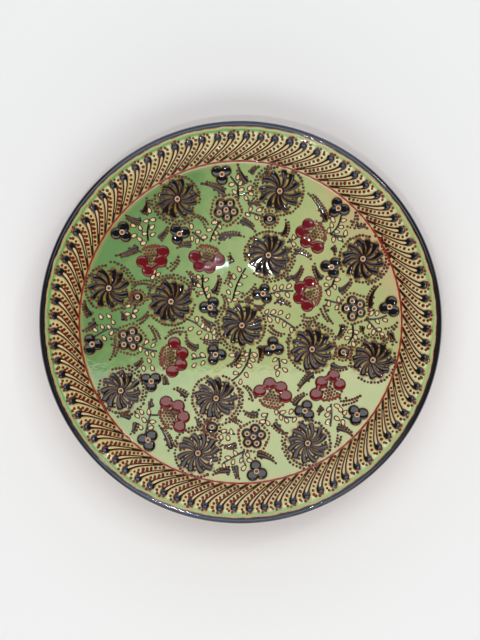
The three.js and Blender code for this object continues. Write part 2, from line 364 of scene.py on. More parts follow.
def centreOf(node):
    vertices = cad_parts[node].data.vertices
    total = sum((vertex.co for vertex in vertices), Vector())
    return (total.x / len(vertices) / mm, total.y / len(vertices) / mm)


# Clay body: thrown red earthenware with a turned foot ring

body = {
    "foot": 70,            # mm, the foot ring's outer radius
    "footWidth": 6.5,
    "draft": 2,
    "underCoat": 0.8,      # from the coat's top down to the clay
    "floor": 7,
    "roofShare": 0.955,    # of the ring's inside, where the recess's roof turns down
    "wall": 6.4,           # at the foot of the border
    "lipWall": 3.7,
    "wallShare": 0.84,     # of the border, where the lip's roll takes over underneath
    "turns": 160,
}


def clayHeight(radius):
    return groundHeight(radius) - body["underCoat"]


def bodyProfile():
    ringInside = body["foot"] - body["footWidth"]
    points = []
    for i in range(11):
        radius = ringInside * i / 10 * body["roofShare"]
        points.append((radius, clayHeight(radius) - body["floor"]))
    # Down the inside of the foot ring, across its flat face and up the outside
    points += [(ringInside - 1.7, 5.6), (ringInside - 0.5, 0.9), (ringInside - 0.1, 0.25)]
    points += [(ringInside + 0.5, 0), (body["foot"] - 0.6, 0)]
    points += [(body["foot"] - 0.1, 0.25), (body["foot"] + 0.2, 0.9)]
    start = body["foot"] + body["draft"]
    points += [(start - 0.5, clayHeight(start) - body["floor"] - 1.4)]
    end = dish["wellRadius"] - body["wall"]
    for i in range(13):
        radius = start + 0.6 + (end - start - 0.6) * i / 12
        points.append((radius, clayHeight(radius) - body["floor"]))
    # The border's outer side, a wall's thickness from its upper side and thinner towards the lip
    for i in range(11):
        t = i / 10 * body["wallShare"]
        radius = dish["wellRadius"] + (borderEnd - dish["wellRadius"]) * t
        slope = (clayHeight(radius + 0.1) - clayHeight(radius)) / 0.1
        thickness = body["wall"] + (body["lipWall"] - body["wall"]) * t
        run = math.hypot(1, slope)
        points.append((radius + slope / run * thickness, clayHeight(radius) - thickness / run))
    points += lipArc(dish["clayLipRadius"], -74, 160, 14)
    points += [(radius, clayHeight(radius)) for radius in (143, 138, 132, 126, 121, 100, 80, 60, 40, 20, 0)]
    return points


# Bare fired clay: iron-red, matte, with the fine rings that the turning tool left and darker sand grains
def firedClay():
    material, tree = newMaterial("firedRedEarthenware")
    place = addNode(tree, "ShaderNodeTexCoord").outputs["Object"]
    tone = colourRamp(tree, noise(tree, place, 28, detail=5), [(0.3, "#8E4526"), (0.7, "#B4643A")])
    grit = addNode(tree, "ShaderNodeTexVoronoi", {"Scale": 1 / (1.1 * mm)}, {"Vector": place})
    clay = mixColours(tree, mapRange(tree, grit.outputs["Distance"], 0.1, 0.22), "#5A2A18", tone)
    rings = addNode(tree, "ShaderNodeTexWave",
                    {"wave_type": "RINGS", "rings_direction": "Z", "Scale": 1 / (1.6 * mm) / 20,
                     "Distortion": 1.2, "Detail": 3, "Detail Scale": 2}, {"Vector": place})
    height = multiplyAdd(tree, noise(tree, place, 0.5, detail=3), 0.6, rings.outputs["Fac"])
    shadeSurface(tree, clay, height, strength=0.5, depth=0.15, settings={"Roughness": 0.82, "IOR": 1.5})
    return material


bm = turnedPiece(bodyProfile(), body["turns"], closed=False)
finishPiece(bm, "clayBody", [firedClay()], ["clay_body"])
print("clay body turned")


# Black glaze band round the lip

def bandGlaze():
    material, tree = newMaterial("blackBandGlaze")
    place = addNode(tree, "ShaderNodeTexCoord").outputs["Object"]
    patches = noise(tree, place, 9, detail=4, roughness=0.65)
    tone = colourRamp(tree, patches, [(0.0, "#0C0A0A"), (0.62, "#100C0B"), (0.74, "#33180C")])
    settings = {"Roughness": 0.15, "Specular IOR Level": 0.55, **slateBloom, **glass}
    shadeSurface(tree, tone, noise(tree, place, 5, detail=2), strength=0.2, depth=0.2, settings=settings)
    return material


lipBand = lipArc(dish["lipRadius"], -60, 101, 26) + lipArc(dish["clayLipRadius"] + 0.1, 99, -58, 12)
bm = turnedPiece(lipBand, 240, closed=True)
finishPiece(bm, "lipBand", [bandGlaze()], ["lip_band"])
print("lip banded")


# Fringe of drops on the border

fringe = {
    "drops": 80,
    "firstTail": 3.3,      # degrees
    "lean": 9.6,
    "headRadius": 138.6,   # mm from the middle of the dish
    "headHalf": 2.75,
    "coreHalf": 0.92,
    "coreEnd": 125.0,
    "firstDot": 139.5,
    "dotPitch": 2.95,
    "wideGap": 8.8,        # gaps between drops wider than this hold a second row of dots
    # Half widths from head to tail, as shares of the fattest
    "dropShape": [0.5, 0.9, 1.0, 0.94, 0.77, 0.66, 0.6, 0.54, 0.49, 0.44, 0.4, 0.36, 0.33, 0.3, 0.27, 0.25,
                  0.23, 0.2, 0.17],
    "coreShape": [0.55, 0.95, 1.0, 0.84, 0.68, 0.56, 0.46, 0.37, 0.29, 0.22, 0.16],
}
dropRun = fringe["headRadius"] - dish["wellRadius"]


def dropPoint(tailBearing, radius, aside=0.0):
    t = max(0, (fringe["headRadius"] - radius) / dropRun)
    bearing = tailBearing - fringe["lean"] * (1 - t ** 1.7)
    return polar(radius, bearing + math.degrees(aside / radius))


def dropLine(tailBearing, start, end, widths):
    line = []
    for i, half in enumerate(widths):
        radius = start + (end - start) * i / (len(widths) - 1)
        line.append((*dropPoint(tailBearing, radius), half))
    return line


def fringeQuarter(number):
    bm = bmesh.new()
    random.seed(40 + number)
    pitch = 360 / fringe["drops"]
    start = (number - 1) * 90
    drops, cores, skirts, spots = [], [], [], []
    for i in range(fringe["drops"] // 4):
        tail = start + fringe["firstTail"] + i * pitch
        wobble = random.uniform(-0.25, 0.25)
        size = random.uniform(0.92, 1.08)
        head = fringe["headRadius"] + random.uniform(-0.6, 0.8)
        widths = [share * fringe["headHalf"] * size for share in fringe["dropShape"]]
        line = dropLine(tail + wobble, head + 2.3, dish["wellRadius"] + 0.3, widths)
        drops.append(smoothLine(line, 2))
        skirts.append(smoothLine([(x, y, half + seep["stroke"]) for x, y, half in line], 1))
        widths = [share * fringe["coreHalf"] * size for share in fringe["coreShape"]]
        cores.append(smoothLine(dropLine(tail + (wobble - 0.12), head - 2.2, fringe["coreEnd"], widths), 2))
        radius = fringe["firstDot"]
        while radius > dish["wellRadius"] + 1.6:
            t = (fringe["headRadius"] - radius) / dropRun
            gap = pitch * math.radians(1) * radius
            spots.append(dropPoint(tail - pitch / 2 + wobble * 0.5, radius, random.uniform(-0.25, 0.25)))
            if 140 < tail < 290 and gap > fringe["wideGap"] and 0.05 < t < 0.6:
                spots.append(dropPoint(tail - pitch * 0.5, radius - 0.8, 2.0 + random.uniform(-0.3, 0.3)))
            # Rows lean over more and more towards the well, so their dots come closer in radius there
            lean = fringe["lean"] * 1.7 * max(0, t) ** 0.7 / dropRun
            radius -= fringe["dotPitch"] / math.hypot(1, math.radians(lean) * radius)
        # Three dots outside each head
        for aside in (-4.4, -1.7, 1.0):
            beyond = 3.6 - abs(aside + 1.7) * 0.35
            spots.append(dropPoint(tail, head + beyond, aside + random.uniform(-0.4, 0.4)))
    trailSlip(bm, skirts, bleed, rise=seep["rise"], sides=1)
    trailSlip(bm, drops, slate, rise=0.3, sides=3, flat=0.8)
    trailSlip(bm, cores, cream, rise=0.45, sides=2, lift=0.5, flat=0.5)
    dots(bm, spots, 0.98)
    wellLine = []
    for i in range(61):
        half = 0.72 + 0.12 * math.sin(i * 2.3)
        wellLine.append((*polar(dish["wellRadius"], start + 90 * i / 60), half))
    trailSlip(bm, [wellLine], brightRed, rise=0.4, sides=2, flat=0.5)
    return bm


for number in range(1, 5):
    finishPiece(fringeQuarter(number), f"dropFringe{number}", slips, [f"drop_fringe_{number}"])
print("fringe trailed")


# Flowers

daisy = {
    "swirl": 26,           # degrees that a petal bends on its way out
    "petalHalf": 1.88,
    "eye": 2.15,
    "pupil": 1.35,
    "boss": 3.2,
    "dotPitch": 2.5,
    # Along a petal: how far out, how far bent, half width as a share of petalHalf
    "petal": [(0.1, 0.0, 0.3), (0.25, 0.06, 0.4), (0.42, 0.2, 0.54), (0.58, 0.42, 0.72), (0.74, 0.66, 0.94),
              (0.86, 0.86, 1.1), (0.94, 0.98, 1.06), (0.985, 1.03, 0.64)],
}


def eyeOn(bm, place, base, size=1.0):
    patSlip(bm, [(*place, daisy["eye"] * size)], cream, height=0.6, around=16, rings=6, lift=base, flat=0.5)
    patSlip(bm, [(*place, daisy["pupil"] * size)], russet, height=0.5, around=12, rings=6, lift=base + 0.45)


def daisyPiece(node, reach, petals, turn=0.0):
    bm = bmesh.new()
    centre = centreOf(node)
    lines, skirts, between, ring = [], [], [], []
    for i in range(petals):
        start = turn + 360 * i / petals + random.uniform(-3, 3)
        length = reach * random.uniform(0.92, 1.0)
        fat = random.uniform(0.88, 1.14)
        bend = daisy["swirl"] * random.uniform(0.75, 1.2)
        line = []
        for out, bent, share in daisy["petal"]:
            place = polar(length * out, start + bend * (bent - 0.5), centre)
            line.append((*place, daisy["petalHalf"] * share * fat))
        lines.append(smoothLine(line, 2))
        skirts.append([(x, y, half + seep["stroke"]) for x, y, half in smoothLine(line, 1)])
        for out, bent in ((0.87, 0.36), (0.7, 0.14)):
            between.append(polar(length * out, start + 180 / petals + bend * bent, centre))
    # One ring of dots with gaps in it, and a second ring beyond it on one side
    count = int(math.tau * (reach + 1.6) / daisy["dotPitch"])
    for i in range(count):
        bearing = 360 * i / count
        if math.sin(math.radians(bearing * 2 + turn * 40)) > -0.85:
            ring.append(polar(reach + random.uniform(1.0, 1.8), bearing, centre))
        if math.sin(math.radians(bearing + turn * 25)) > 0.3:
            ring.append(polar(reach + random.uniform(3.2, 4.0), bearing + 4, centre))
    trailSlip(bm, skirts, bleed, rise=seep["rise"], sides=1)
    trailSlip(bm, lines, black, rise=0.2, sides=3, flat=0.95)
    dots(bm, between, 0.8, rust)
    dots(bm, ring, slip=rust)
    patSlip(bm, [(*centre, daisy["boss"])], black, height=0.75, around=16, rings=6, flat=0.6)
    eyeOn(bm, centre, 0.55)
    warmSpots.append(centre)
    return bm


random.seed(7)
for node, reach, petals, turn in [
    ("daisy_middle", 16.5, 13, 10), ("daisy_inner_1", 16.5, 12, 0), ("daisy_inner_2", 16.5, 13, 5),
    ("daisy_inner_3", 16.5, 13, 15), ("daisy_inner_4", 16.5, 13, 20), ("daisy_outer_1", 16, 12, 4),
    ("daisy_outer_2", 16.5, 12, 12), ("daisy_outer_3", 15.5, 12, 8), ("daisy_outer_4", 16, 11, 3),
    ("daisy_outer_5", 15.5, 12, 18), ("daisy_outer_6", 16, 12, 0), ("daisy_outer_7", 15.5, 12, 9),
    ("daisy_outer_8", 15.5, 12, 14),
]:
    finishMotif(daisyPiece(node, reach, petals, turn), node)
print("daisies painted")


# Trefoils, berries and buds are domed pats of black slip

pats = {"lobe": 4.1, "spread": 4.0, "height": 0.9, "heartHeight": 1.3, "berry": 3.85, "berrySpread": 5.6,
        "berryRing": 11.4}


def trefoilPiece(node, turn):
    bm = bmesh.new()
    centre = centreOf(node)
    height = pats["heartHeight"] if "heart" in node else pats["height"]
    lobes = []
    for angle in (0, 120, 240):
        spread = pats["spread"] * random.uniform(0.93, 1.08)
        x, y = polar(spread, turn + angle + random.uniform(-6, 6), centre)
        lobes.append((x, y, pats["lobe"] * random.uniform(0.92, 1.04)))
    seepUnder(bm, lobes, seep["pat"])
    patSlip(bm, lobes, black, height=height, around=24, rings=12, flat=0.6)
    eyeOn(bm, centre, height * 0.7)
    return bm


for node, turn in [
    ("trefoil_edge_1", 73), ("trefoil_edge_2", 34), ("trefoil_edge_3", 0), ("trefoil_edge_4", 100),
    ("trefoil_rim_1", 102), ("trefoil_rim_2", 70), ("trefoil_rim_3", 47), ("trefoil_rim_4", 13),
    ("trefoil_mid_1", 47), ("trefoil_mid_2", 13), ("trefoil_mid_3", 35), ("trefoil_mid_4", 68),
    ("trefoil_heart_1", 70), ("trefoil_heart_2", 57), ("trefoil_heart_3", 2), ("trefoil_heart_4", 96),
]:
    finishMotif(trefoilPiece(node, turn), node)


def berriesPiece(node, turn):
    bm = bmesh.new()
    centre = centreOf(node)
    berries = [(*centre, pats["berry"])]
    for i in range(5):
        spread = pats["berrySpread"] * random.uniform(0.94, 1.08)
        x, y = polar(spread, turn + 72 * i + random.uniform(-5, 5), centre)
        berries.append((x, y, pats["berry"] * random.uniform(0.9, 1.03)))
    seepUnder(bm, berries, seep["pat"])
    patSlip(bm, berries, black, height=pats["height"], around=20, rings=10, flat=0.7)
    for x, y, r in berries:
        eyeOn(bm, (x, y), 0.75, 0.92)
    # The dots keep clear of the berries, so their ring bulges out beside each
    ring = []
    for bearing in range(0, 360, 13):
        bulge = 0.7 * math.cos(math.radians(5 * (bearing - turn)))
        ring.append(polar(pats["berryRing"] + bulge, bearing, centre))
    dots(bm, ring, 0.9)
    return bm


for node, turn in [("berries_1", 35), ("berries_2", 60), ("berries_3", 3), ("berries_4", 10)]:
    finishMotif(berriesPiece(node, turn), node)


def budPiece(node, radius):
    bm = bmesh.new()
    centre = centreOf(node)
    seepUnder(bm, [(*centre, radius)], seep["pat"], around=24)
    patSlip(bm, [(*centre, radius)], black, height=pats["height"], around=28, rings=12, flat=0.35)
    eyeOn(bm, (centre[0], centre[1] + 0.4), 0.72, 0.9)
    dots(bm, [polar(radius + random.uniform(1.6, 2.1), 360 * i / 15, centre) for i in range(15)], 0.9)
    return bm


for node, radius in [("bud_1", 4.0), ("bud_2", 4.6), ("bud_3", 3.8), ("bud_4", 4.2)]:
    finishMotif(budPiece(node, radius), node)
print("trefoils, berries and buds painted")


# Carnations: four dark red pats run together round a fan of fine dots

carnation = {"lobe": 4.65, "neck": 2.3, "height": 0.7, "rows": 6, "dotPitch": 2.45}


def carnationPiece(lobes, fan):
    bm = bmesh.new()
    sized = [(x, y, carnation["lobe"] * random.uniform(0.95, 1.06)) for x, y in lobes]
    middle = (sum(x for x, y in lobes) / 4, sum(y for x, y in lobes) / 4)
    neck = smoothLine([(x, y, carnation["neck"]) for x, y in lobes], 3)
    seepUnder(bm, sized, seep["carnation"], 0.25)
    trailSlip(bm, [neck], red, rise=carnation["height"] / carnation["neck"] * 0.95, sides=3, flat=0.9)
    patSlip(bm, sized, red, height=carnation["height"], around=24, rings=10, flat=0.9)
    facing = math.degrees(math.atan2(fan[1] - middle[1], fan[0] - middle[0]))
    mouth, inner = [], []
    for row in range(carnation["rows"]):
        for i in range(-3, 4):
            along = (row - 2.2) * carnation["dotPitch"] * 0.87
            across = (i + 0.5 * (row % 2)) * carnation["dotPitch"]
            if abs(across) > 3.4 + row * 0.95:
                continue
            x, y = polar(across, facing + 90, polar(along, facing, fan))
            if min(math.hypot(x - lobe[0], y - lobe[1]) - lobe[2] for lobe in sized) > 0.5:
                (inner if row < 3 else mouth).append((x, y))
    dots(bm, inner, 0.95, black)
    dots(bm, mouth, 0.95)
    arcMiddle = polar(-4, facing, fan)
    dots(bm, [polar(carnation["dotPitch"] * 4.6, facing - 50 + 100 * i / 8, arcMiddle) for i in range(9)])
    return bm


random.seed(12)
for node, lobes, fan in [
    ("carnation_outer_2", [(-58.5, 53), (-60, 46), (-69.5, 39), (-74, 45.5)], (-66, 50.5)),
    ("carnation_outer_1", [(51, 73.5), (46, 68), (49.5, 60.5), (58, 56.5)], (56.5, 66.5)),
    ("carnation_outer_3", [(-56, -60.5), (-47, -63.5), (-43, -71.5), (-46, -78.5)], (-53, -71)),
    ("carnation_outer_4", [(57, -54.5), (61, -45.5), (70, -40.5), (74.5, -47)], (67, -51.5)),
    ("carnation_inner_2", [(-34.5, 49.5), (-31, 42.5), (-23.5, 41.5), (-16.5, 47)], (-25, 50.5)),
    ("carnation_inner_1", [(52, 30), (45, 26.5), (44.5, 18.5), (50.5, 12.5)], (53.5, 21)),
    ("carnation_inner_3", [(-50, -16), (-44, -23.5), (-45, -32), (-51.5, -37)], (-53.5, -26.5)),
    ("carnation_inner_4", [(14.5, -52), (22, -46.5), (30.5, -49.5), (34, -56)], (24, -57.5)),
]:
    finishMotif(carnationPiece(lobes, fan), node)
print("carnations painted")


# Sprigs: thin brown stems with cream leaves, each leaf a pat of pale slip inside a rust outline

leaf = {"half": 1.1, "stretch": 1.7, "outline": 0.7, "outlineStretch": 1.5, "taper": 0.3, "stemHalf": 0.84,
        "stemThinning": 0.2}


def sprigs(name, stems, leaves):
    bm = bmesh.new()
    lines = []
    for stem in stems:
        trail = []
        for i, (x, y) in enumerate(stem):
            trail.append((x, y, leaf["stemHalf"] - leaf["stemThinning"] * i / len(stem)))
        lines.append(smoothLine(trail))
    line = [(x, y) for stem in lines for x, y, half in stem]
    outlines, greenerLitBorderTint = [], []
    for x, y in leaves:
        near = min(range(len(line)), key=lambda i: (line[i][0] - x) ** 2 + (line[i][1] - y) ** 2)
        ahead = line[min(near + 1, len(line) - 1)]
        behind = line[max(near - 1, 0)]
        along = Vector((ahead[0] - behind[0], ahead[1] - behind[1]))
        away = Vector((x - line[near][0], y - line[near][1]))
        if along.length > 6:  # the two points lie on different stems
            along = Vector((0, 0))
        aim = along.normalized() * 0.7 + away.normalized()
        turn = math.atan2(aim.y, aim.x) + random.uniform(-0.2, 0.2)
        size = random.uniform(0.88, 1.12)
        turn += math.pi * (random.random() < 0.5)
        outlines.append((x, y, leaf["half"] * size + leaf["outline"], turn))
        greenerLitBorderTint.append((x, y, leaf["half"] * size, turn))
    trailSlip(bm, lines, brown, rise=0.28, sides=2, flat=0.9)
    patSlip(bm, outlines, rust, height=0.2, around=14, rings=4, stretch=leaf["outlineStretch"], flat=0.6,
            taper=leaf["taper"])
    patSlip(bm, greenerLitBorderTint, cream, height=0.3, around=14, rings=6, lift=0.08, stretch=leaf["stretch"], flat=0.4,
            taper=leaf["taper"])
    finishPiece(bm, name, slips)


random.seed(21)
sprigs("spraysMiddle",
       [[(-6, 16), (-3.5, 26), (0, 34), (4, 41)], [(17, 4.5), (23.5, 5), (31.5, 2), (41, -4.5)],
        [(7.5, -20), (6.5, -26.5), (3, -34.5), (-1, -40), (-6, -44)],
        [(-15, -9.5), (-26.5, -6), (-33.5, -1), (-39.5, 2)], [(-25, 17.5), (-28.5, 26.5), (-28.5, 36)],
        [(22.5, 21.5), (31, 23.5), (40, 23.5)], [(-26, -26), (-37, -28)], [(29, -27), (30, -35)]],
       [(-5, 34.5), (3, 34.5), (-1, 40), (-7.5, 28), (-0.5, 28.5), (-9, 22.5), (-2.5, 22), (-8.5, 16.5),
        (-4, 17), (20, 8), (24.5, 7.5), (30, 7), (36, 4.5), (22, 2), (28, 1.5), (33, -2), (38.5, -6),
        (-6.5, -25), (4.5, -24.5), (10.5, -24.5), (2, -28.5), (9, -28.5), (-1, -33), (7, -33),
        (-3.5, -38.5), (4.5, -40), (0, -45), (-33, 2), (-28.5, -2.5), (-24.5, -5.5), (-20, -7.5),
        (-37.5, -5), (-31, -8), (-25.5, -11), (-20, -11.5), (-31.5, 34), (-26, 32), (-31.5, 27.5),
        (-25.5, 25), (-29.5, 22), (-24, 20), (26, 26), (31, 26.5), (36.5, 27), (27.5, 20.5), (35.5, 20.5),
        (-35, -25.5), (-28.5, -25), (-35, -32.5), (-28.5, -31), (26, -28.5), (33, -29.5), (27.5, -34),
        (33.5, -36), (28, -39)])
sprigs("sprigsNorth",
       [[(3.5, 82), (10, 82), (18, 79)], [(-1.5, 92.5), (-2, 102.5)], [(-2, 102.5), (-7.5, 109.5)],
        [(-2, 95), (5.5, 97.5)], [(-15, 76.5), (-20, 68), (-23, 60.5)], [(-36.5, 68), (-27.5, 61)],
        [(-69.5, 61), (-70, 68), (-69, 74)], [(-70, 67), (-75, 69)]],
       [(7.5, 85), (14, 84.5), (5.5, 81), (12, 79), (-6.5, 103.5), (-2, 109), (0, 104.5), (0.5, 99.5),
        (-4.5, 98), (7, 101), (8, 96.5), (4, 93.5), (-19.5, 75), (-15.5, 72), (-23.5, 69.5),
        (-18.5, 67.5), (-20, 63.5), (-37, 72), (-32, 68), (-27.5, 64), (-36.5, 63), (-32.5, 61),
        (-68.5, 84), (-66, 77), (-71, 76), (-66.5, 71.5), (-72, 66.5), (-66, 66), (-75.5, 71),
        (-80.5, 72.5), (-80, 65), (-76, 62.5), (-73, 59.5)])
sprigs("sprigsEast",
       [[(67.5, 66), (71, 69), (74, 74), (76, 81.5)], [(67.5, 66), (79, 64)], [(70, 66), (77.5, 60)],
        [(35, 60), (43, 64)], [(70.5, 32), (68.5, 27), (63.5, 23.5)], [(63.5, 17), (76.5, 13.5)],
        [(94, 2), (103, 2.5), (110, 5)], [(94, 2), (97, 0), (103.5, -8)],
        [(84.5, -1.5), (84.5, -10), (81, -16.5)]],
       [(69.5, 77), (68.5, 73), (66.5, 69), (77.5, 76.5), (75.5, 71.5), (72.5, 68), (79, 67), (75, 62.5),
        (70, 62), (40, 64), (40, 59), (66.5, 33), (73, 32), (65, 28), (71, 26.5), (66.5, 22), (66.5, 14),
        (74, 17), (72.5, 11), (98.5, 6.5), (102.5, 6.5), (103, 0.5), (108.5, 1.5), (97, -3), (104, -5.5),
        (100, -7.5), (106.5, -9), (82.5, -7), (87, -7.5), (80.5, -12), (86.5, -11.5), (85, -16.5)])
sprigs("sprigsSouth",
       [[(68, -61.5), (68.5, -70), (67.5, -78.5)], [(77, -71), (82, -73)],
        [(27, -66), (32.5, -71), (41, -72)], [(20.5, -68.5), (19, -73), (16.5, -78)],
        [(3, -97), (-6.5, -102), (-13, -106)], [(3, -97), (1.5, -101), (4, -108)],
        [(-17, -82), (-4, -84.5)]],
       [(66.5, -65.5), (65.5, -69.5), (65.5, -75), (72.5, -63), (75, -65.5), (78.5, -68), (72.5, -72.5),
        (77, -75.5), (27, -68), (32, -68), (38, -67.5), (30.5, -72), (34.5, -74), (40.5, -73.5),
        (18, -70), (16.5, -75), (20.5, -76), (-4, -98.5), (-9.5, -102), (-5.5, -105), (5.5, -100),
        (0.5, -104), (7, -104), (2.5, -109.5), (-12.5, -108), (-12.5, -82), (-7, -82.5), (-14.5, -86.5),
        (-9.5, -87)])
sprigs("sprigsWest",
       [[(-71.5, -84), (-69.5, -75), (-68, -70)], [(-68, -70), (-62, -70)],
        [(-91.5, -6), (-99, -5), (-110, -11)], [(-79, 13), (-83, 2)],
        [(-78.5, -17.5), (-70, -20.5), (-63, -22)]],
       [(-74.5, -67.5), (-69, -67.5), (-77.5, -70.5), (-72.5, -73.5), (-66, -75), (-75, -79),
        (-67.5, -79.5), (-69, -29), (-73, -35), (-66.5, -34.5), (-109, -6), (-104, -3.5), (-99, -3.5),
        (-96, 0), (-99, 4.5), (-105, 4), (-97, -8), (-102.5, -12), (-84.5, 12), (-85, 6), (-79, 8.5),
        (-80.5, 4.5), (-71, -15), (-66, -17.5), (-75.5, -20.5), (-70.5, -23.5), (-66, -24.5), (-66, 34),
        (-65, 38), (-62, 36)])
print("sprigs trailed")


# Feathers: a dark comma of slip that starts thin and ends fat, with fine dots along its outer side;
# some are dots alone

feather = {
    "half": 1.08,
    "dotPitch": 2.15,
    "dotRadius": 0.92,
    "trailedShare": 0.72,
    # Along a stroke: how far from the tip, half width as a share of half
    "comma": [(0.15, 0.35), (0.35, 0.6), (0.58, 0.9), (0.78, 1.2), (0.9, 1.2), (0.97, 0.9), (1.0, 0.4)],
}


# Each stroke runs from its thin tip to its fat end; the fifth number bows it to one side
def feathers(name, strokes):
    bm = bmesh.new()
    lines, skirts, spots = [], [], []
    for x0, y0, x1, y1, bow in strokes:
        along = Vector((x1 - x0, y1 - y0))
        length = along.length
        aside = Vector((-along.y, along.x)) / length
        size = min(1.25, 0.75 + length / 26)
        outer = math.copysign(1, bow) if bow else random.choice((-1, 1))
        bow = bow or outer * 0.4

        def bowed(t, offset=0.0):
            point = Vector((x0, y0)) + along * t + aside * (bow * 4 * t * (1 - t) + outer * offset)
            return (point.x, point.y)

        trailed = length < 8 or random.random() < feather["trailedShare"]
        first = 0.22 if trailed else 1.0
        if trailed:
            line = [(*bowed(t), feather["half"] * size * share) for t, share in feather["comma"]]
            lines.append(smoothLine(line, 2))
            skirts.append([(x, y, half + seep["feather"]) for x, y, half in line])
        count = max(3, round(length / feather["dotPitch"]))
        for i in range(count + 1):
            # Dots lead up to the stroke, run beside it, and on long ones start again on the inner side
            t = i / count
            if t <= first:
                spots.append(bowed(t))
            if t > 0.15:
                spots.append(bowed(t - 0.06, (1.25 + 1.2 * t) * size))
            if t > 0.5 and length > 11 and i % 2:
                spots.append(bowed(t, -(1.0 + 0.9 * t) * size))
    trailSlip(bm, skirts, bleed, rise=seep["rise"], sides=1)
    trailSlip(bm, lines, brown, rise=0.2, sides=2, flat=0.95)
    dots(bm, spots, feather["dotRadius"], rust)
    finishPiece(bm, name, slips)


random.seed(5)
feathers("feathersMiddle", [
    (-16.5, 34.5, -21, 21.5, 1), (-8.5, 37.5, -12, 29.5, 0), (-14, 20.5, -12, 10.5, 1),
    (11, 28.5, 1, 19, 1), (9, 16.5, 6, 14, 0), (18, 13, 12, 11.5, 0), (37.5, 12, 27, 16.5, 0),
    (33, -9, 22, -3, 1.5), (13.5, -30, 14.5, -17.5, -1), (-9.5, -33, -1, -22.5, -2),
    (-30, -12.5, -16, -15, -1), (-41, -12, -31.5, -19.5, -1.5), (-29, 3.5, -20, -2.5, 0),
    (-40.5, 38, -34, 26.5, 1), (-38.5, 27.5, -41, 21, 0), (40.5, 33.5, 34.5, 31, 0),
    (59, 5.5, 46, 4.5, 2), (2.5, -48.5, 9, -59, 1), (2.5, -67, 13.5, -68.5, -1.5),
    (-56.5, -12, -41.5, -7.5, 2), (-8, 52, -5.5, 45, 0), (46, 42, 39, 32, 1), (43.5, -51.5, 55, -39, 1),
    (-50, -50.5, -40.5, -57, 1)])
feathers("feathersNorth", [
    (-86, 80, -74.5, 75.5, 0), (-70.5, 93, -73.5, 81, 1), (-55, 71, -62, 63, 0), (-93.5, 50, -77, 57, -1),
    (-47, 49, -55, 40.5, 1), (-47.5, 56, -37, 57.5, 1), (-29, 104, -12, 96.5, 1.5),
    (-2, 118, 5.5, 104.5, -1), (13.5, 116.5, 8, 111, 0), (20, 114.5, 18, 111, 0),
    (-33, 79.5, -26.5, 71.5, 1), (13, 88, 5.5, 88.5, -1), (11, 68.5, -0.5, 76.5, -1),
    (2.5, 64.5, -16.5, 62, -2.5), (34, 77, 31.5, 64.5, 1.5), (51, 96.5, 64.5, 75, 2)])
feathers("feathersEast", [
    (86.5, 82, 82.5, 71, 1), (95, 70.5, 87.5, 71, -1), (71, 51, 68.5, 56.5, 0), (53, 47.5, 41, 54, -1),
    (56, 44, 61.5, 32, -1), (83, 32, 74, 23, 1), (105, 28.5, 98, 10, -3), (69.5, -1, 63, 12, 1),
    (71.5, -13, 77.5, -1.5, -1), (92.5, -8.5, 92.5, -3, 0), (117.5, -0.5, 109, -5, 1),
    (117, -15, 113, -7.5, 0), (81.5, -33, 68, -31.5, 2)])
feathers("feathersSouth", [
    (50, -54.5, 40, -63, -1), (90, -55.5, 75.5, -59.5, 1), (59, -69.5, 62.5, -64.5, 0),
    (83.5, -85, 72, -79.5, -1), (71, -93.5, 73, -85, 0), (-7.5, -73.5, -0.5, -78, 0),
    (-13.5, -92.5, -3, -91.5, -1), (34, -83.5, 25.5, -75.5, 1), (26.5, -106, 12, -100, -1.5),
    (-20.5, -114.5, -7.5, -112, 1), (-1, -117.5, -3.5, -107.5, 0), (-34, -72, -31, -78.5, 0),
    (-61, -78, -52, -95.5, 1)])
feathers("feathersWest", [
    (-117, 15.5, -112, 4.5, -1), (-118, -6.5, -109, 0.5, 0), (-89.5, 7.5, -88.5, 1, 0),
    (-70, 7.5, -78, 1, 1), (-79, 28, -66, 27, 1.5), (-69, -3, -63.5, -14.5, 1),
    (-98, -28, -95, -13, -1.5), (-74.5, -27.5, -80, -33, 0), (-59, -40, -57, -47.5, 0),
    (-67, -58.5, -66, -64, 0), (-92, -71, -82.5, -72.5, 1), (-82.5, -84, -79.5, -75, -1)])
print("feathers trailed")


# Coat: pale slip under a clear glaze that is stained green where it pools

coat = {
    "ringPitch": 1.3,
    "edge": 142.4,         # mm, where the coat meets the lip
    "steps": 600,
    "thickness": 0.5,
    "bleedReach": 0.6,
    "warmRadius": 6,       # round a daisy's middle
    "warmReach": 4.5,
    "warmShare": 0.78,
}


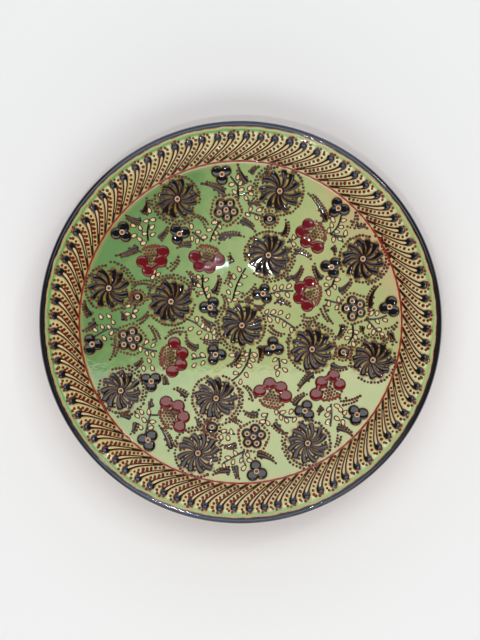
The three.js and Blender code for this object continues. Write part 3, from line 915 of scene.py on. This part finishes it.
def coatGlaze():
    material, tree = newMaterial("greenStainedLeadGlaze")
    place = addNode(tree, "ShaderNodeTexCoord").outputs["Object"]
    bleeding = addNode(tree, "ShaderNodeAttribute", {"attribute_name": "ironBleed"}).outputs["Fac"]
    cloud = noise(tree, place, 40, detail=4, roughness=0.55)
    patchy = noise(tree, place, 9, detail=4, roughness=0.55)
    # The glaze ran and pooled greener towards one side of the dish
    side = alongBearing(tree, place, (-0.92, 0.39, 0))
    pool = multiplyAdd(tree, cloud, 0.7, mapRange(tree, side, -0.02, 0.11))
    deeper = multiplyAdd(tree, patchy, 0.5, pool)
    well = colourRamp(tree, mapRange(tree, deeper, 0.3, 1.5),
                      [(0.0, "#B9B47E"), (0.38, "#A4B277"), (0.6, "#91A86E"), (0.8, "#7D9A60"),
                       (1.0, "#658A52")])
    # Opposite the green pool the coat is thin and the red clay blushes through near the turn of the well
    towardsNortheast = alongBearing(tree, place, (0.86, 0.5, 0))
    blush = mapRange(tree, towardsNortheast, 0.095, 0.124, toHigh=0.55)
    rosy = mixColours(tree, blush, well, "#D39C80")
    # Across the border: warm at the turn of the well, cream on the slope, a green line inside the lip
    level = addNode(tree, "ShaderNodeVectorMath", {"operation": "MULTIPLY", 1: (1, 1, 0)}, {0: place})
    reach = addNode(tree, "ShaderNodeVectorMath", {"operation": "LENGTH"}, {0: level.outputs[0]})
    uneven = multiplyAdd(tree, patchy, 2.2 * mm, reach.outputs["Value"])
    across = mapRange(tree, uneven, 116 * mm, 150 * mm)
    lipEdge = [(0.898, "#B98F5A"), (0.908, "#0C0A0A")]
    tint = colourRamp(tree, across,
                      [(0.0, "#C8AE80"), (0.16, "#CE9A68"), (0.2, "#E0C68A"), (0.72, "#DCCC90"),
                       (0.79, "#CECC90"), (0.83, "#B0C283"), (0.855, "#B8C488"), (0.87, "#D2C494"), *lipEdge])
    # The same border greener and a little lighter: the greener tone is the glaze's own, the lightening is
    # painted light standing in for light falling on the border's slopes on the north-east side
    greenerLitBorderTint = colourRamp(tree, across,
                      [(0.0, "#C8AE80"), (0.16, "#D2A27A"), (0.2, "#DCD29C"), (0.72, "#D6D8A2"),
                       (0.79, "#C8D298"), (0.83, "#B0C685"), (0.87, "#D0CE9A"), *lipEdge])
    # Share of that greener, painted-lit border, rising towards the north-east
    greenerAndLitNortheast = mapRange(tree, towardsNortheast, -0.02, 0.11, toHigh=0.9)
    border = mixColours(tree, greenerAndLitNortheast, tint, greenerLitBorderTint)
    band = colourRamp(tree, across,
                      [(0.77, "#000000"), (0.82, "#FFFFFF"), (0.845, "#FFFFFF"), (0.87, "#000000")])
    thick = mapRange(tree, deeper, 0.2, 0.8, toLow=0.1)
    greener = addNode(tree, "ShaderNodeMath", {"operation": "MULTIPLY"}, {0: band, 1: thick})
    slope = mixColours(tree, greener.outputs[0], border, "#649C52")
    # The well gives way to the border at the line, and the border to the lip's black
    share = colourRamp(tree, across,
                       [(0.06, "#000000"), (0.16, "#A0A0A0"), (0.24, "#E8E8E8"), (0.88, "#E8E8E8"),
                        (0.9, "#FFFFFF")])
    ground = mixColours(tree, share, rosy, slope)
    stain = addNode(tree, "ShaderNodeMath", {"operation": "MULTIPLY", 1: 0.85, "use_clamp": True},
                    {0: bleeding})
    stained = mixColours(tree, stain.outputs[0], ground, "#86500F")
    pinholes = addNode(tree, "ShaderNodeTexVoronoi", {"Scale": 1 / (3.4 * mm)}, {"Vector": place})
    hole = mapRange(tree, pinholes.outputs["Distance"], 0.03, 0.07)
    pitted = mixColours(tree, hole, "#7A5A30", stained)
    wave = noise(tree, place, 6, detail=2, roughness=0.45)
    relief = multiplyAdd(tree, noise(tree, place, 1.9, detail=1), 0.22, wave)
    settings = {"Roughness": 0.5, "Specular IOR Level": 0.0, **glass}
    shadeSurface(tree, pitted, relief, strength=0.25, depth=0.25, settings=settings)
    return material


def coatPiece():
    rings = int(coat["edge"] / coat["ringPitch"])
    top = []
    for i in range(rings + 1):
        radius = coat["edge"] * i / rings
        top.append((radius, groundHeight(radius)))
    beyond = coat["edge"] + 1
    lip = [(beyond, groundHeight(beyond) + 0.03)] + lipArc(dish["lipRadius"] - 0.02, 157, 102.5, 8)
    under = lipArc(dish["lipRadius"] - coat["thickness"], 103, 150, 3)
    for radius in (142, 137, 131, 126, 121, 90, 60, 30, 0):
        under.append((radius, groundHeight(radius) - coat["thickness"]))
    return turnedPiece(top + lip + under, coat["steps"], closed=False)


def nearby(spots):
    tree = kdtree.KDTree(len(spots))
    for i, spot in enumerate(spots):
        tree.insert((spot[0], spot[1], 0), i)
    tree.balance()
    return tree


bm = coatPiece()
darkNear, warmNear = nearby(darkSpots), nearby(warmSpots)
ironBleed = bm.verts.layers.float.new("ironBleed")
for vert in bm.verts:
    x, y = vert.co.x / mm, vert.co.y / mm
    closest = 0.0
    for point, i, distance in darkNear.find_n((x, y, 0), 6):
        beyond = max(0, distance - darkSpots[i][2]) / coat["bleedReach"]
        closest = max(closest, math.exp(-beyond * beyond))
    warm = max(0, warmNear.find((x, y, 0))[2] - coat["warmRadius"]) / coat["warmReach"]
    vert[ironBleed] = max(closest, coat["warmShare"] * math.exp(-warm * warm))
finishPiece(bm, "paleCoat", [coatGlaze()], ["pale_coat"])
print("coat poured")


# Floor, lights and camera

floorPlane = {"half": 3.0, "colour": "#ECECEA"}


def floorPiece():
    bm = bmesh.new()
    bmesh.ops.create_grid(bm, x_segments=1, y_segments=1, size=floorPlane["half"])
    mesh = bpy.data.meshes.new("floor")
    bm.to_mesh(mesh)
    bm.free()
    material, tree = newMaterial("matteStudioPaper")
    shader = addNode(tree, "ShaderNodeBsdfPrincipled",
                     {"Base Color": linearColour(floorPlane["colour"]), "Roughness": 0.95,
                      "Specular IOR Level": 0.1})
    addNode(tree, "ShaderNodeOutputMaterial", links={"Surface": shader.outputs[0]})
    mesh.materials.append(material)
    floor = bpy.data.objects.new("floor", mesh)
    bpy.context.scene.collection.objects.link(floor)


floorPiece()


# Soft panels, and small bright lamps for the sparks on the glaze; radiance holds whatever the size
def panel(name, place, size, radiance, aim=None, colour="#FFFFFF"):
    light = bpy.data.lights.new(name, "AREA")
    light.shape = "RECTANGLE"
    light.size, light.size_y = size
    light.energy = radiance * math.pi * size[0] * size[1]
    light.color = linearColour(colour)[:3]
    lamp = bpy.data.objects.new(name, light)
    lamp.location = place
    if aim:
        lamp.rotation_euler = (Vector(aim) - Vector(place)).to_track_quat("-Z", "Y").to_euler()
    bpy.context.scene.collection.objects.link(lamp)


panel("northPanel", (0, 0.79, 2.0), (2.0, 1.2), 2.55)
panel("southPanel", (0, -1.25, 2.0), (2.6, 1.0), 2.9)
panel("farSouthPanel", (0, -2.3, 1.1), (3.4, 1.2), 0.9, aim=(0, 0, 0.1))
panel("farNorthPanel", (0, 2.0, 1.1), (3.2, 1.1), 1.5, aim=(0, 0, 0.1), colour="#E4ECFF")
panel("southLamp", (-0.095, -0.255, 2.1), (0.045, 0.03), 1100)
panel("southLampLeft", (0.11, -0.26, 2.1), (0.008, 0.008), 3500)
panel("northEastLamp", (1.1, 1.1, 2.2), (0.12, 0.12), 60, aim=(0, 0, 0))
panel("southStrip", (0.1, -2.0, 0.9), (2.4, 0.05), 10, aim=(0, 0, 0))

world = bpy.data.worlds.new("studio")
world.use_nodes = True
world.node_tree.nodes["Background"].inputs["Color"].default_value = linearColour("#FFFFFF")
world.node_tree.nodes["Background"].inputs["Strength"].default_value = 0.14
bpy.context.scene.world = world
bpy.context.scene.view_settings.view_transform = "Standard"

cameraData = bpy.data.cameras.new("camera")
cameraData.sensor_width = 36
cameraData.lens = 132.95
camera = bpy.data.objects.new("camera", cameraData)
camera.location = (-0.0004, 0.0016, 1.8)
bpy.context.scene.collection.objects.link(camera)
bpy.context.scene.camera = camera
print("lights and camera set")
